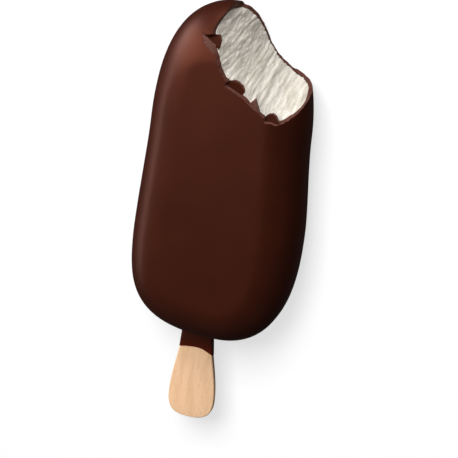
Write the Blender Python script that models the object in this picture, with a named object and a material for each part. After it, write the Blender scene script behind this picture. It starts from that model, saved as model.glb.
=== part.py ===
"""Chocolate-coated ice cream bar on a wooden stick, with one corner bitten off.

The bar lies on its back. +Z comes out of its front face, +Y runs towards its domed end, -Y along its
stick, and the bitten corner is at +X and +Y. The origin is under the middle of the whole bar, on the
surface that it lies on. Sizes are in metres.
"""

import math

import bmesh
import bpy
from mathutils import Vector

MM = 0.001

# The bar from above: a squarish foot and an oval dome, joined by long sides that draw in to the dome.
TOTAL_LENGTH = 127.6 * MM
BODY_LENGTH = 100.4 * MM
FOOT_HALF_WIDTH = 25.0 * MM
FOOT_X = 3.9 * MM
FOOT_LEFT_LENGTH = 28.0 * MM
FOOT_RIGHT_LENGTH = 34.5 * MM
SHOULDER_HALF_WIDTH = 22.7 * MM
DOME_LENGTH = 33.1 * MM

# How full each quarter of the outline is: its two handles, down the side and in along the end, as parts
# of the quarter's length and half width.
FOOT_LEFT_FULLNESS = (0.53, 0.94)
FOOT_RIGHT_FULLNESS = (0.32, 0.97)
DOME_FULLNESS = 0.60
SIDE_HANDLE = 8.0 * MM
TIP_Y = TOTAL_LENGTH / 2
FOOT_Y = TIP_Y - BODY_LENGTH

# The bar from the side: flat front and back, nearly full-round edges, thinner towards the dome's tip.
THICKNESS = 25.0 * MM
EDGE_RADIUS = 11.0 * MM
THINNING_LENGTH = 24.0 * MM
TIP_THINNING = 0.20
MIDDLE_Z = THICKNESS / 2

# The layers.
COATING = 1.4 * MM
GAP = 0.3 * MM

# The stick, measured from its own axis, which stands a little to the left of the bar's.
STICK_X = -2.7 * MM
STICK_TURN = math.radians(1.0)
STICK_THICKNESS = 2.0 * MM
STICK_EDGE = 0.3 * MM
STICK_LENGTH = 80.0 * MM
STICK_HALF_WIDTH = 4.2 * MM
STICK_FLARE_HALF_WIDTH = 7.1 * MM
STICK_END_LENGTH = 6.6 * MM
STICK_END_FULLNESS = 0.74
STICK_FLARE_LENGTH = 24.0 * MM
STICK_END_Y = -TOTAL_LENGTH / 2
STICK_GAP = 0.25 * MM
ROUND_HANDLE = 0.55

# The sleeve of coating round the top of the stick, whose lower border sags to the right.
SLEEVE_WALL = 0.45 * MM
SLEEVE_TOP_Y = FOOT_Y + COATING / 2
SLEEVE_LEFT = 5.2 * MM
SLEEVE_CREST = 4.6 * MM
SLEEVE_RIGHT = 6.5 * MM
SLEEVE_FLARE = (0.3 * MM, 0.8 * MM)

# The bite: a surface ruled from a line on the front face to a line on the back face. Both are drawn
# from BITE_CENTRE, with the first number along the mouth of the bite and the second out of the bar.
BITE_CENTRE = Vector((10.5 * MM, TIP_Y - 14.2 * MM))
BITE_TURN = math.radians(-36.5)
BITE_FRONT = (
    (-16.6, 8.0),
    (-17.5, 0.8),
    (-15.9, -5.6),
    (-9.3, -10.5),
    (-3.0, -12.4),
    (12.2, -12.4),
    (16.4, -10.9),
    (18.0, -5.7),
    (16.0, 7.0),
)
BITE_BACK = (
    (-16.6, 10.0),
    (-17.0, 2.6),
    (-14.2, 3.3),
    (-10.2, 1.7),
    (-2.9, -2.0),
    (4.9, -2.4),
    (12.0, 2.6),
    (13.6, 2.8),
    (14.3, 10.0),
)
BITE_EASE = 1.17
BITE_STEPS = 4
BITE_LEVELS = 7
BITE_REACH = 4.0 * MM
BITE_ROOM = 30.0 * MM

# Chips of coating broken off along the front of the bite and pressed down into the ice cream. Each has
# the two ends of its outer edge, as x and the distance below the dome's tip, how far its free edge
# reaches into the bite, as (along, across) parts of the outer edge's length, and its slope.
CHIP_THICKNESS = 1.1 * MM
CHIP_SINK = 1.0 * MM
CHIPS = {
    "coating_chip_upper": {
        "edge": ((-7.9, 10.2), (-3.1, 14.6)),
        "reach": ((0.92, 0.20), (0.80, 0.36), (0.55, 0.46), (0.19, 0.32)),
        "slope": 36.0,
    },
    "coating_chip_middle": {
        "edge": ((-0.5, 22.9), (4.4, 25.4)),
        "reach": ((1.01, 0.20), (0.63, 0.37), (0.32, 0.36), (0.09, 0.22)),
        "slope": 30.0,
    },
    "coating_chip_lower": {
        "edge": ((12.2, 31.3), (16.3, 31.2)),
        "reach": ((0.95, 0.06), (0.68, 0.40), (0.44, 0.52), (0.18, 0.48), (-0.04, 0.28)),
        "slope": 30.0,
    },
}

# The one spur of coating left standing on the rim, as x and the distance below the dome's tip.
SPUR = ((7.0, 27.6), (9.0, 25.4), (10.6, 29.0), (8.6, 30.2))
SPUR_SINK = 0.1 * MM

# Fineness of the faceted shapes.
OUTLINE_STEPS = 10
EDGE_STEPS = 4
STICK_STEPS = 6
THINNING_CUTS = 5
THINNING_SPACING = THINNING_LENGTH / 7
WELD = 0.01 * MM
HARD_EDGE = math.radians(35)

COLOURS = {
    "milk_chocolate": ((0.051, 0.014, 0.009), 0.35),
    "vanilla_ice_cream": ((0.807, 0.768, 0.674), 0.60),
    "birch": ((0.840, 0.515, 0.305), 0.60),
}


def clear_scene():
    """Removes whatever the open file holds."""
    for obj in list(bpy.data.objects):
        bpy.data.objects.remove(obj, do_unlink=True)


def new_collection(name):
    """A collection of the scene's own."""
    collection = bpy.data.collections.new(name)
    bpy.context.scene.collection.children.link(collection)
    return collection


def make_material(name):
    """A Principled material with the part's colour and roughness."""
    colour, roughness = COLOURS[name]
    material = bpy.data.materials.new(name)
    material.use_nodes = True
    shader = material.node_tree.nodes["Principled BSDF"]
    shader.inputs["Base Color"].default_value = (*colour, 1.0)
    shader.inputs["Roughness"].default_value = roughness
    shader.inputs["Metallic"].default_value = 0.0
    return material


def shade_round(mesh):
    """Smooth shading with hard lines where the surface turns sharply."""
    mesh.shade_smooth()
    mesh.set_sharp_from_angle(angle=HARD_EDGE)


def finish(obj, material):
    """Gives an object its material and its shading."""
    obj.data.materials.clear()
    obj.data.materials.append(material)
    shade_round(obj.data)


def as_cutter(obj):
    """Keeps a helper out of the finished bar."""
    obj.hide_render = True
    obj.display_type = "WIRE"
    return obj


def boolean(obj, other, operation):
    """Cuts the other object from this one, or joins it on."""
    modifier = obj.modifiers.new(f"{operation.lower()} {other.name}", "BOOLEAN")
    modifier.operation = operation
    modifier.solver = "EXACT"
    modifier.object = other


def mesh_object(name, mesh, collection):
    """Puts a mesh into the scene as an object of its own."""
    obj = bpy.data.objects.new(name, mesh)
    collection.objects.link(obj)
    return obj


def flat_curve(name, half_height, edge=0.0, edge_steps=0, grow=0.0, steps=1):
    """An empty 2D curve, filled on both faces, for an outline of the given half height."""
    curve = bpy.data.curves.new(name, "CURVE")
    curve.dimensions = "2D"
    curve.fill_mode = "BOTH"
    curve.resolution_u = steps
    curve.extrude = half_height - edge
    curve.bevel_depth = edge
    curve.bevel_resolution = edge_steps
    curve.offset = grow - edge
    return curve


def add_bezier(curve, knots):
    """A closed outline from knots of (place, handle before, handle after), handles relative to the place."""
    spline = curve.splines.new("BEZIER")
    spline.bezier_points.add(len(knots) - 1)
    spline.use_cyclic_u = True
    for point, (place, before, after) in zip(spline.bezier_points, knots):
        place = Vector(place)
        point.handle_left_type = point.handle_right_type = "FREE"
        point.co = (*place, 0.0)
        point.handle_left = (*(place + Vector(before)), 0.0)
        point.handle_right = (*(place + Vector(after)), 0.0)


def add_polygon(curve, corners):
    """A closed outline with straight sides."""
    spline = curve.splines.new("POLY")
    spline.points.add(len(corners) - 1)
    spline.use_cyclic_u = True
    for point, corner in zip(spline.points, corners):
        point.co = (corner[0], corner[1], 0.0, 1.0)


def curve_to_mesh(curve, name):
    """The curve's closed mesh, its caps welded to its sides."""
    guide = bpy.data.objects.new(f"{name} guide", curve)
    bpy.context.scene.collection.objects.link(guide)
    graph = bpy.context.evaluated_depsgraph_get()
    mesh = bpy.data.meshes.new_from_object(guide.evaluated_get(graph))
    mesh.name = name
    bpy.data.objects.remove(guide, do_unlink=True)
    bpy.data.curves.remove(curve)
    bm = bmesh.new()
    bm.from_mesh(mesh)
    bmesh.ops.remove_doubles(bm, verts=bm.verts, dist=WELD)
    bmesh.ops.recalc_face_normals(bm, faces=bm.faces)
    bm.to_mesh(mesh)
    bm.free()
    return mesh


def bar_knots():
    """The bar's outline, anticlockwise from its right side."""
    right_down, right_in = FOOT_RIGHT_FULLNESS
    left_down, left_in = FOOT_LEFT_FULLNESS
    low_left = FOOT_Y + FOOT_LEFT_LENGTH
    low_right = FOOT_Y + FOOT_RIGHT_LENGTH
    high = TIP_Y - DOME_LENGTH
    dome = DOME_FULLNESS * DOME_LENGTH
    dome_side = DOME_FULLNESS * SHOULDER_HALF_WIDTH
    foot_right = right_in * (FOOT_HALF_WIDTH - FOOT_X)
    foot_left = left_in * (FOOT_HALF_WIDTH + FOOT_X)
    return (
        ((FOOT_HALF_WIDTH, low_right), (0, -right_down * FOOT_RIGHT_LENGTH), (0, SIDE_HANDLE)),
        ((SHOULDER_HALF_WIDTH, high), (0, -SIDE_HANDLE), (0, dome)),
        ((0, TIP_Y), (dome_side, 0), (-dome_side, 0)),
        ((-SHOULDER_HALF_WIDTH, high), (0, dome), (0, -SIDE_HANDLE)),
        ((-FOOT_HALF_WIDTH, low_left), (0, SIDE_HANDLE), (0, -left_down * FOOT_LEFT_LENGTH)),
        ((FOOT_X, FOOT_Y), (-foot_left, 0), (foot_right, 0)),
    )


def thin_towards_tip(mesh):
    """Draws the front and back together towards the dome's tip, and lifts the bar onto its back."""
    start = TIP_Y - THINNING_LENGTH
    bm = bmesh.new()
    bm.from_mesh(mesh)
    for step in range(THINNING_CUTS):
        bmesh.ops.bisect_plane(
            bm,
            geom=bm.verts[:] + bm.edges[:] + bm.faces[:],
            dist=WELD / 10,
            plane_co=(0, start + step * THINNING_SPACING, 0),
            plane_no=(0, 1, 0),
        )
    for vert in bm.verts:
        along = max(0.0, (vert.co.y - start) / THINNING_LENGTH)
        vert.co.z = MIDDLE_Z + vert.co.z * (1 - TIP_THINNING * along**2)
    bmesh.ops.triangulate(bm, faces=bm.faces)
    bm.to_mesh(mesh)
    bm.free()


def bar_mesh(name, inset):
    """The bar's form, drawn in by the same amount on every side."""
    curve = flat_curve(
        name, THICKNESS / 2 - inset, EDGE_RADIUS - inset, EDGE_STEPS, -inset, OUTLINE_STEPS
    )
    add_bezier(curve, bar_knots())
    mesh = curve_to_mesh(curve, name)
    thin_towards_tip(mesh)
    return mesh


def smooth_line(points, steps):
    """A Catmull-Rom line through the points."""
    points = [Vector(point) for point in points]
    ends = [2 * points[0] - points[1], *points, 2 * points[-1] - points[-2]]
    line = []
    for a, b, c, d in zip(ends, ends[1:], ends[2:], ends[3:]):
        for step in range(steps):
            t = step / steps
            bend = 2 * a - 5 * b + 4 * c - d
            turn = -a + 3 * b - 3 * c + d
            line.append(0.5 * (2 * b + (c - a) * t + bend * t**2 + turn * t**3))
    return [*line, points[-1]]


def bite_place(along, out):
    """Where a point of the bite, in millimetres along and out of its mouth, lies on the bar."""
    across = Vector((math.cos(BITE_TURN), math.sin(BITE_TURN)))
    outward = Vector((-across.y, across.x))
    return BITE_CENTRE + (across * along + outward * out) * MM


def bite_cutter(collection):
    """The bitten space, lofted through levels from above the front face to below the back face."""
    front = smooth_line(BITE_FRONT, BITE_STEPS)
    back = smooth_line(BITE_BACK, BITE_STEPS)
    room = BITE_ROOM / MM
    bm = bmesh.new()
    rings = []
    for level in range(-1, BITE_LEVELS + 2):
        depth = level / BITE_LEVELS
        height = THICKNESS * (1 - depth)
        if level < 0:
            height = THICKNESS + BITE_REACH
        elif level > BITE_LEVELS:
            height = -BITE_REACH
        share = min(1.0, max(0.0, depth))
        blend = 1 - (1 - share) ** BITE_EASE
        line = [f.lerp(b, blend) for f, b in zip(front, back)]
        line.append(line[-1] + Vector((room / 3, room)))
        line.append(line[0] + Vector((-room / 3, room)))
        rings.append([bm.verts.new((*bite_place(*point), height)) for point in line])
    for upper, lower in zip(rings, rings[1:]):
        for i, corner in enumerate(upper):
            after = (i + 1) % len(upper)
            bm.faces.new((corner, lower[i], lower[after], upper[after]))
    bm.faces.new(rings[0])
    bm.faces.new(reversed(rings[-1]))
    bmesh.ops.triangulate(bm, faces=bm.faces)
    bmesh.ops.recalc_face_normals(bm, faces=bm.faces)
    mesh = bpy.data.meshes.new("bite")
    bm.to_mesh(mesh)
    bm.free()
    return as_cutter(mesh_object("bite", mesh, collection))


def stick_knots():
    """The stick's outline, anticlockwise from its inner end, about its own axis."""
    inner_y = STICK_END_Y + STICK_LENGTH
    half = STICK_HALF_WIDTH
    flare = STICK_FLARE_HALF_WIDTH
    flare_y = STICK_END_Y + STICK_END_LENGTH
    waist_y = flare_y + STICK_FLARE_LENGTH
    pull = STICK_FLARE_LENGTH / 3
    end_side = STICK_END_FULLNESS * flare
    end_down = STICK_END_FULLNESS * STICK_END_LENGTH
    round_end = ROUND_HANDLE * half
    return (
        ((0, inner_y), (round_end, 0), (-round_end, 0)),
        ((-half, inner_y - half), (0, round_end), (0, -pull)),
        ((-half, waist_y), (0, pull), (0, -pull)),
        ((-flare, flare_y), (0, pull), (0, -end_down)),
        ((0, STICK_END_Y), (-end_side, 0), (end_side, 0)),
        ((flare, flare_y), (0, -end_down), (0, pull)),
        ((half, waist_y), (0, -pull), (0, pull)),
        ((half, inner_y - half), (0, -pull), (0, round_end)),
    )


def stick_mesh(name, grow):
    """The stick's form, grown by the same amount on every side."""
    edge = STICK_EDGE if grow == 0 else 0.0
    curve = flat_curve(name, STICK_THICKNESS / 2 + grow, edge, 1, grow, STICK_STEPS)
    add_bezier(curve, stick_knots())
    mesh = curve_to_mesh(curve, name)
    place_on_stick(mesh)
    return mesh


def place_on_stick(mesh):
    """Moves a mesh drawn about the stick's axis to where the stick stands."""
    turn_y = FOOT_Y
    for vert in mesh.vertices:
        x = vert.co.x
        y = vert.co.y - turn_y
        vert.co.x = STICK_X + x * math.cos(STICK_TURN) - y * math.sin(STICK_TURN)
        vert.co.y = turn_y + x * math.sin(STICK_TURN) + y * math.cos(STICK_TURN)
        vert.co.z += MIDDLE_Z


def sleeve_mesh(name):
    """The sleeve as a solid block round the stick, which the stick's own gap then hollows."""
    grow = STICK_GAP + SLEEVE_WALL
    curve = flat_curve(name, STICK_THICKNESS / 2 + grow, SLEEVE_WALL, 2, 0.0, STICK_STEPS)
    top, low = (STICK_HALF_WIDTH + grow + flare for flare in SLEEVE_FLARE)
    left_y = FOOT_Y - SLEEVE_LEFT
    right_y = FOOT_Y - SLEEVE_RIGHT
    crest = (-low / 3, FOOT_Y - SLEEVE_CREST)
    third = low / 3
    side = SLEEVE_CREST / 3
    add_bezier(
        curve,
        (
            ((-top, SLEEVE_TOP_Y), (third, 0), (0, -side)),
            ((-low, left_y), (0, side), (third / 2, third / 5)),
            (crest, (-third, 0), (third, 0)),
            ((low, right_y), (-third, third / 2), (0, side)),
            ((top, SLEEVE_TOP_Y), (0, -side), (-third, 0)),
        ),
    )
    mesh = curve_to_mesh(curve, name)
    place_on_stick(mesh)
    return mesh


def slanted_prism(name, corners, high, low, grow=0.0):
    """An upright prism whose top and bottom follow two functions of x and y."""
    curve = flat_curve(name, MM, grow=grow)
    add_polygon(curve, corners)
    mesh = curve_to_mesh(curve, name)
    for vert in mesh.vertices:
        vert.co.z = (high if vert.co.z > 0 else low)(vert.co)
    return mesh


def below_tip(point):
    """The place of a point given as x and its distance below the dome's tip, in millimetres."""
    return Vector((point[0] * MM, TIP_Y - point[1] * MM))


def front_height(y):
    """The height of the flat of the front face."""
    along = max(0.0, (y - TIP_Y + THINNING_LENGTH) / THINNING_LENGTH)
    return MIDDLE_Z + THICKNESS / 2 * (1 - TIP_THINNING * along**2)


def chip_shape(chip):
    """A chip's corners from above, and the height of its upper face as a function of the place."""
    start, end = (below_tip(point) for point in chip["edge"])
    edge = end - start
    inward = Vector((-edge.y, edge.x))
    corners = [start, end]
    corners += [start + edge * along + inward * across for along, across in chip["reach"]]
    fall = math.tan(math.radians(chip["slope"]))
    top = front_height((start.y + end.y) / 2) - CHIP_SINK

    def upper_face(co):
        return top - fall * (co.to_2d() - start).dot(inward.normalized())

    return corners, upper_face


def chip_meshes(name, chip):
    """The chip itself, and the open pocket that it lies in."""
    corners, upper_face = chip_shape(chip)
    body = slanted_prism(name, corners, upper_face, lambda co: upper_face(co) - CHIP_THICKNESS)
    pocket = slanted_prism(
        f"{name} pocket",
        corners,
        lambda co: THICKNESS + BITE_REACH,
        lambda co: upper_face(co) - CHIP_THICKNESS - GAP,
        grow=GAP,
    )
    return body, pocket


def spur_mesh(name):
    """The spur, as thick as the coating that it stands on."""
    corners = [below_tip(point) for point in SPUR]
    return slanted_prism(
        name,
        corners,
        lambda co: THICKNESS - SPUR_SINK,
        lambda co: THICKNESS - COATING + SPUR_SINK,
    )


def build_bar():
    """Makes the bar's six pieces."""
    clear_scene()
    bar = new_collection("ice_cream_bar")
    cutters = new_collection("cutters")
    materials = {name: make_material(name) for name in COLOURS}

    bite = bite_cutter(cutters)
    hollow = as_cutter(mesh_object("hollow", bar_mesh("hollow", COATING), cutters))
    slot = as_cutter(mesh_object("stick slot", stick_mesh("stick slot", STICK_GAP), cutters))
    sleeve = as_cutter(mesh_object("sleeve", sleeve_mesh("sleeve"), cutters))
    spur = as_cutter(mesh_object("spur", spur_mesh("spur"), cutters))

    coating = mesh_object("chocolate_coating", bar_mesh("chocolate_coating", 0.0), bar)
    ice_cream = mesh_object("ice_cream", bar_mesh("ice_cream", COATING + GAP), bar)
    stick = mesh_object("stick", stick_mesh("stick", 0.0), bar)

    boolean(coating, hollow, "DIFFERENCE")
    boolean(coating, bite, "DIFFERENCE")
    boolean(coating, sleeve, "UNION")
    boolean(coating, slot, "DIFFERENCE")
    boolean(coating, spur, "UNION")
    boolean(ice_cream, bite, "DIFFERENCE")
    boolean(ice_cream, slot, "DIFFERENCE")

    for name, chip in CHIPS.items():
        body, pocket = chip_meshes(name, chip)
        chip_object = mesh_object(name, body, bar)
        finish(chip_object, materials["milk_chocolate"])
        pocket_object = as_cutter(mesh_object(f"{name} pocket", pocket, cutters))
        boolean(coating, pocket_object, "DIFFERENCE")
        boolean(ice_cream, pocket_object, "DIFFERENCE")

    finish(coating, materials["milk_chocolate"])
    finish(ice_cream, materials["vanilla_ice_cream"])
    finish(stick, materials["birch"])


build_bar()
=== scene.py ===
"""Chocolate-coated ice cream bar on a birch stick, bitten at one corner and lying on its back.

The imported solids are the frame. Each piece here replaces one of them with the surface of the real
thing: a dipped coating with a broken edge, ice cream with the marks of the teeth, three chips of coating
that were pressed in by the bite, and a stamped birch stick. Lengths are in metres, +Z comes out of the
bar's front face and +Y runs towards its domed end.
"""

from __future__ import annotations

import logging
import math
from collections.abc import Callable, Iterator, Sequence
from contextlib import contextmanager
from dataclasses import dataclass
from enum import Enum
from typing import ClassVar

import bpy
import numpy as np
from mathutils import Euler, Matrix, Vector, noise


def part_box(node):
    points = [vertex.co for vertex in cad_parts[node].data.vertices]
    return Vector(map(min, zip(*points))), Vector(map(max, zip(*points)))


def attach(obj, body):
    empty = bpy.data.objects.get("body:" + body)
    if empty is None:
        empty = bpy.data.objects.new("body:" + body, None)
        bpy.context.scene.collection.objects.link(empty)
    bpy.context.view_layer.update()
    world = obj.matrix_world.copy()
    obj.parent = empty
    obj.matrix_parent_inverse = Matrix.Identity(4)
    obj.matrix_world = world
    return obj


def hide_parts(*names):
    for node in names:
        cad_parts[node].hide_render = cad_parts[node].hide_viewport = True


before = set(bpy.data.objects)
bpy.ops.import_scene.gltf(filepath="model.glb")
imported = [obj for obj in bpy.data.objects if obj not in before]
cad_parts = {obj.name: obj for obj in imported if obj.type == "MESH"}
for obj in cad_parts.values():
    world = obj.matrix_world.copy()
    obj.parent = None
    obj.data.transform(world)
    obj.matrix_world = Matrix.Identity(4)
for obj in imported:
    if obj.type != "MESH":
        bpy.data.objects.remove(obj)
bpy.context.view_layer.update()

LOG = logging.getLogger("ice_cream_bar")

MM = 0.001
TOUCH = 0.01 * MM
TINY = 1e-6
SEED = 11
NOISE_SHIFT = 17.3
BODY = "root"

Object = bpy.types.Object
Material = bpy.types.Material
Socket = bpy.types.NodeSocket
Line = Sequence[tuple[float, float]]
Knots = Sequence[tuple[Vector, Vector, Vector]]


class Slot(Enum):
    """The record's material slots."""

    COATING = "coating"
    ICE_CREAM = "ice_cream"
    STICK = "stick"


class Join(Enum):
    """What a Boolean does with its second solid."""

    CUT = "DIFFERENCE"
    ADD = "UNION"


# ---------------------------------------------------------------------------------------------------
# Handling objects
# ---------------------------------------------------------------------------------------------------


def take(obj: Object) -> None:
    """Makes an object the only one selected, and the active one."""
    bpy.ops.object.select_all(action="DESELECT")
    obj.select_set(True)
    bpy.context.view_layer.objects.active = obj


def discard(*objects: Object) -> None:
    """Removes helpers that are no longer needed."""
    for obj in objects:
        bpy.data.objects.remove(obj, do_unlink=True)


def add_object(add: Callable[..., object], name: str, **settings: object) -> Object:
    """Adds an object with nothing else selected.

    Args:
        add: The operator that adds it.
        name: The object's name.
        **settings: The operator's settings.

    Returns:
        The new object.
    """
    bpy.ops.object.select_all(action="DESELECT")
    add(**settings)
    obj = bpy.context.active_object
    obj.name = obj.data.name = name
    return obj


@contextmanager
def editing(obj: Object) -> Iterator[None]:
    """Edit mode on one object, with the whole of its mesh selected.

    Args:
        obj: The mesh object to edit.
    """
    take(obj)
    bpy.ops.object.mode_set(mode="EDIT")
    bpy.ops.mesh.select_all(action="SELECT")
    try:
        yield
    finally:
        bpy.ops.object.mode_set(mode="OBJECT")


def face_out(obj: Object) -> None:
    """Turns the faces of a closed mesh outwards."""
    with editing(obj):
        bpy.ops.mesh.normals_make_consistent(inside=False)


def duplicate(obj: Object, name: str) -> Object:
    """Copies an object with a mesh of its own.

    Args:
        obj: The object to copy.
        name: The copy's name.

    Returns:
        The copy.
    """
    take(obj)
    bpy.ops.object.duplicate()
    copy = bpy.context.active_object
    copy.name = copy.data.name = name
    return copy


def modify(obj: Object, kind: str, **settings: object) -> None:
    """Puts a modifier on an object and applies it.

    Args:
        obj: The object to change.
        kind: The modifier's type.
        **settings: The modifier's settings.
    """
    take(obj)
    modifier = obj.modifiers.new(kind.lower(), kind)
    for name, value in settings.items():
        setattr(modifier, name, value)
    bpy.ops.object.modifier_apply(modifier=modifier.name)


def combine(obj: Object, other: Object, how: Join) -> None:
    """Cuts the other solid from this one or adds it, keeping each surface's own material.

    Args:
        obj: The solid that stays.
        other: The solid that is cut away or added.
        how: Whether to cut or to add.
    """
    modify(obj, "BOOLEAN", operation=how.value, solver="EXACT", object=other, material_mode="TRANSFER")


def points_of(obj: Object) -> np.ndarray:
    """The places of an object's vertices, one row each."""
    places = np.empty(len(obj.data.vertices) * 3, np.float32)
    obj.data.vertices.foreach_get("co", places)
    return places.reshape(-1, 3).astype(float)


def normals_of(obj: Object) -> np.ndarray:
    """The normals at an object's vertices, one row each."""
    normals = np.empty(len(obj.data.vertices) * 3, np.float32)
    obj.data.vertex_normals.foreach_get("vector", normals)
    return normals.reshape(-1, 3).astype(float)


def place_points(obj: Object, places: np.ndarray) -> None:
    """Moves an object's vertices.

    Args:
        obj: The object whose vertices move.
        places: One row for each vertex.
    """
    obj.data.vertices.foreach_set("co", places.astype(np.float32).ravel())
    obj.data.update()


def rough(places: np.ndarray, scale: tuple[float, float, float], seed: int) -> np.ndarray:
    """Smooth noise between about -1 and 1 at many places.

    Args:
        places: Places, one row each.
        scale: The size of the noise along each axis, in the units of the places.
        seed: Which noise.

    Returns:
        One value for each place.
    """
    scaled = places / np.array(scale) + NOISE_SHIFT * seed
    return np.array([noise.noise(Vector(row)) for row in scaled])


def column(name: str, corners: Sequence[Sequence[float]], low: float, height: float) -> Object:
    """An upright prism, its faces not yet turned outwards.

    Args:
        name: The object's name.
        corners: The corners of its outline, from above.
        low: The height of its lower face.
        height: Its own height.

    Returns:
        The prism.
    """
    obj = add_object(bpy.ops.mesh.primitive_circle_add, name, vertices=len(corners), fill_type="NGON")
    place_points(obj, np.array([(x, y, low) for x, y in corners]))
    with editing(obj):
        bpy.ops.mesh.extrude_region_move(TRANSFORM_OT_translate={"value": (0, 0, height)})
    return obj


def even_skin(obj: Object, size: float) -> None:
    """Gives a smooth solid an even mesh that still lies on its own surface.

    Args:
        obj: The solid.
        size: The side of the new faces.
    """
    form = duplicate(obj, f"{obj.name} form")
    modify(obj, "REMESH", mode="VOXEL", voxel_size=size)
    modify(obj, "SHRINKWRAP", target=form, wrap_method="NEAREST_SURFACEPOINT")
    discard(form)


def shade(obj: Object, angle: float) -> None:
    """Shades an object smooth, with hard lines where it turns by more than the angle."""
    take(obj)
    bpy.ops.object.shade_smooth_by_angle(angle=math.radians(angle))


def smooth_line(points: Line, steps: int) -> np.ndarray:
    """A Catmull-Rom line through points.

    Args:
        points: The points to pass through.
        steps: How many stretches between two of them.

    Returns:
        Points along the line, one row each.
    """
    knots = np.array(points, float)
    knots = np.vstack([2 * knots[0] - knots[1], knots, 2 * knots[-1] - knots[-2]])
    t = (np.arange(steps) / steps)[:, None]
    line = []
    for a, b, c, d in zip(knots, knots[1:], knots[2:], knots[3:]):
        bend = 2 * a - 5 * b + 4 * c - d
        turn = -a + 3 * b - 3 * c + d
        line.append(0.5 * (2 * b + (c - a) * t + bend * t**2 + turn * t**3))
    return np.vstack([*line, knots[-2]])


# ---------------------------------------------------------------------------------------------------
# Finishes
# ---------------------------------------------------------------------------------------------------


def colour(code: str) -> tuple[float, float, float, float]:
    """A linear colour from its sRGB hex code."""
    shares = [int(code[i : i + 2], 16) / 255 for i in (0, 2, 4)]
    linear = [s / 12.92 if s <= 0.04045 else ((s + 0.055) / 1.055) ** 2.4 for s in shares]
    return (*linear, 1.0)


def add_node(
    tree: bpy.types.NodeTree,
    kind: str,
    settings: dict[str, object] | None = None,
    links: dict[str, object] | None = None,
) -> bpy.types.Node:
    """Adds a node, with its settings and what goes into it.

    Args:
        tree: The node tree to add to.
        kind: The node's type, without the "ShaderNode" in front.
        settings: Values for the node's own properties.
        links: For each input, by name or number, a socket to link from or a constant.

    Returns:
        The new node.
    """
    node = tree.nodes.new(f"ShaderNode{kind}")
    for name, value in (settings or {}).items():
        setattr(node, name, value)
    for name, value in (links or {}).items():
        socket = node.inputs[name]
        if isinstance(value, Socket):
            tree.links.new(value, socket)
        else:
            socket.default_value = value
    return node


def add_ramp(tree: bpy.types.NodeTree, value: Socket, stops: Sequence[tuple[float, str]]) -> Socket:
    """Colours read from a value.

    Args:
        tree: The node tree to add to.
        value: The value to read.
        stops: Each stop's place and its sRGB hex code.

    Returns:
        The colour socket.
    """
    node = add_node(tree, "ValToRGB", links={"Fac": value})
    elements = node.color_ramp.elements
    while len(elements) < len(stops):
        elements.new(0.5)
    for element, (position, code) in zip(elements, stops):
        element.position = position
        element.color = colour(code)
    return node.outputs["Color"]


def new_material(name: str, constants: dict[str, object]) -> tuple[Material, bpy.types.Node]:
    """A Principled material with its constants set on the shader's own sockets.

    Args:
        name: The material's name.
        constants: Each socket's name and value.

    Returns:
        The material and its shader.
    """
    material = bpy.data.materials.new(name)
    material.use_nodes = True
    shader = material.node_tree.nodes["Principled BSDF"]
    for socket, value in constants.items():
        shader.inputs[socket].default_value = value
    return material, shader


@dataclass(frozen=True)
class Grain:
    """The fine relief of a finish.

    Attributes:
        size: How far apart its grains are.
        detail: How many finer layers it has.
        roughness: How much each finer layer counts.
        strength: How strongly it shows.
        depth: How deep it is.
    """

    size: float
    detail: float
    roughness: float
    strength: float
    depth: float

    def add(self, shader: bpy.types.Node, place: Socket) -> Socket:
        """Gives a finish its relief.

        Args:
            shader: The finish's shader.
            place: Where on the piece it is read.

        Returns:
            The height, between 0 and 1.
        """
        tree = shader.id_data
        layers = {"Detail": self.detail, "Roughness": self.roughness}
        height = add_node(tree, "TexNoise", links={"Vector": place, "Scale": 1 / self.size, **layers})
        relief = {"Height": height.outputs["Fac"], "Strength": self.strength, "Distance": self.depth}
        bump = add_node(tree, "Bump", links=relief)
        tree.links.new(bump.outputs["Normal"], shader.inputs["Normal"])
        return height.outputs["Fac"]


@dataclass(frozen=True)
class DippedMilkChocolate:
    """Milk chocolate set on a cold bar: cocoa butter gives it an even satin skin, brown even in its gloss."""

    name: str = "dipped milk chocolate"
    deep: str = "30120A"
    warm: str = "34140B"
    thin: str = "521405"
    gloss: str = "FF9576"
    gloss_level: float = 0.43
    roughness: float = 0.4
    wave: float = 9 * MM
    grain: Grain = Grain(0.5 * MM, detail=3.0, roughness=0.5, strength=0.12, depth=0.02 * MM)
    thin_from_y: float = 0.0
    thin_to_y: float = 0.0

    def material(self) -> Material:
        """Builds the finish, redder where the coating thins out over the wood of the stick."""
        material, shader = new_material(
            self.name,
            {
                "Roughness": self.roughness,
                "IOR": 1.5,
                "Specular IOR Level": self.gloss_level,
                "Specular Tint": colour(self.gloss),
            },
        )
        tree = material.node_tree
        place = add_node(tree, "TexCoord").outputs["Object"]
        wave = add_node(
            tree,
            "TexNoise",
            links={"Vector": place, "Scale": 1 / self.wave, "Detail": 2.0, "Roughness": 0.4},
        )
        body = add_ramp(tree, wave.outputs["Fac"], ((0.35, self.deep), (0.65, self.warm)))
        down = add_node(tree, "SeparateXYZ", links={"Vector": place})
        thin = add_node(
            tree,
            "MapRange",
            {"interpolation_type": "SMOOTHSTEP"},
            {"Value": down.outputs["Y"], "From Min": self.thin_from_y, "From Max": self.thin_to_y},
        )
        skin = add_node(
            tree,
            "Mix",
            {"data_type": "RGBA"},
            {"Factor": thin.outputs["Result"], "A": body, "B": colour(self.thin)},
        )
        tree.links.new(skin.outputs["Result"], shader.inputs["Base Color"])
        self.grain.add(shader, place)
        return material


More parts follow.
